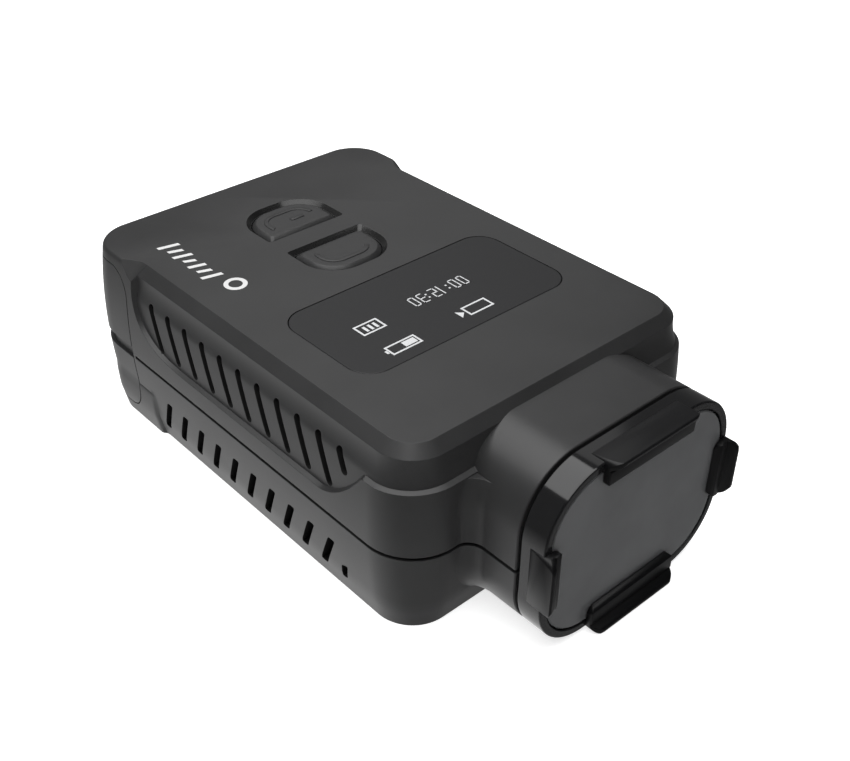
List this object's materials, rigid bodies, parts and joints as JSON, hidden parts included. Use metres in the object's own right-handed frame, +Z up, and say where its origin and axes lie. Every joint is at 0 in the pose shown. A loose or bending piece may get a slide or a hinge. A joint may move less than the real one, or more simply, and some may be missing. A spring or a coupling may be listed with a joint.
{
  "type": "action camera",
  "caption": "Long-body action camera with a square lens snout, clip-on lens protector, rear cover, push buttons and a status window in the top.",
  "frame": {"origin": "middle of the footprint, on the surface that the camera stands on", "axes": "+Z up, the lens looks along -Y, +X to the right seen from behind the camera"},
  "size_m": [0.039, 0.0632, 0.0202],
  "materials": {
    "case": "fine matt moulded",
    "button": "fine matt moulded",
    "window": "satin smoked",
    "gloss": "polished black",
    "coated_glass": "dark coated",
    "rubber": "matt",
    "plunger": "plain",
    "steel": "stamped",
    "screw": "black oxide",
    "circuit_board": "solder mask",
    "chip": "moulded",
    "brass_part": "machined",
    "heat_sink": "plain",
    "battery_wrap": "wrapped foil",
    "lens_glass": "coated"
  },
  "bodies": {
    "case": {"top_housing": "case", "bottom_housing": "case", "front_bezel": "case", "display_window": "window", "oled_display": "window", "mode_switch": "steel", "shutter_switch": "steel", "control_board": "circuit_board", "main_board": "circuit_board", "processor": "chip", "heat_spreader": "heat_sink", "battery": "battery_wrap", "battery_pad": "rubber", "lens_holder": "case", "lens_barrel": "gloss", "lens_lock_ring": "steel", "lens_front_element": "lens_glass", "image_sensor": "chip", "sensor_board": "circuit_board", "rear_seal": "rubber", "usb_port": "steel", "card_socket": "steel", "microphone": "brass_part", "speaker": "chip", "wifi_antenna": "brass_part", "tripod_insert": "brass_part", "case_screws": "screw"},
    "mode_button": {"mode_button": "button", "mode_plunger": "plunger"},
    "shutter_button": {"shutter_button": "button", "shutter_plunger": "plunger"},
    "protector": {"protector_frame": "gloss", "protector_glass": "coated_glass", "protector_latches": "gloss", "protector_seal": "rubber"},
    "rear_cover": {"rear_cover": "case"},
    "memory_card": {"memory_card": "chip"}
  },
  "joints": [
    {"name": "mode_press", "type": "slide", "parent": "case", "child": "mode_button", "axis": [0, 0, -1], "range_m": [0, 0.0004], "stiffness_N_per_m": 3000},
    {"name": "shutter_press", "type": "slide", "parent": "case", "child": "shutter_button", "axis": [0, 0, -1], "range_m": [0, 0.0004], "stiffness_N_per_m": 3000},
    {"name": "protector_pull", "type": "slide", "parent": "case", "child": "protector", "axis": [0, -1, 0], "range_m": [0, 0.018]},
    {"name": "rear_cover_pull", "type": "slide", "parent": "case", "child": "rear_cover", "axis": [0, 1, 0], "range_m": [0, 0.016]},
    {"name": "card_eject", "type": "slide", "parent": "case", "child": "memory_card", "axis": [0, 1, 0], "range_m": [0, 0.0009]}
  ]
}
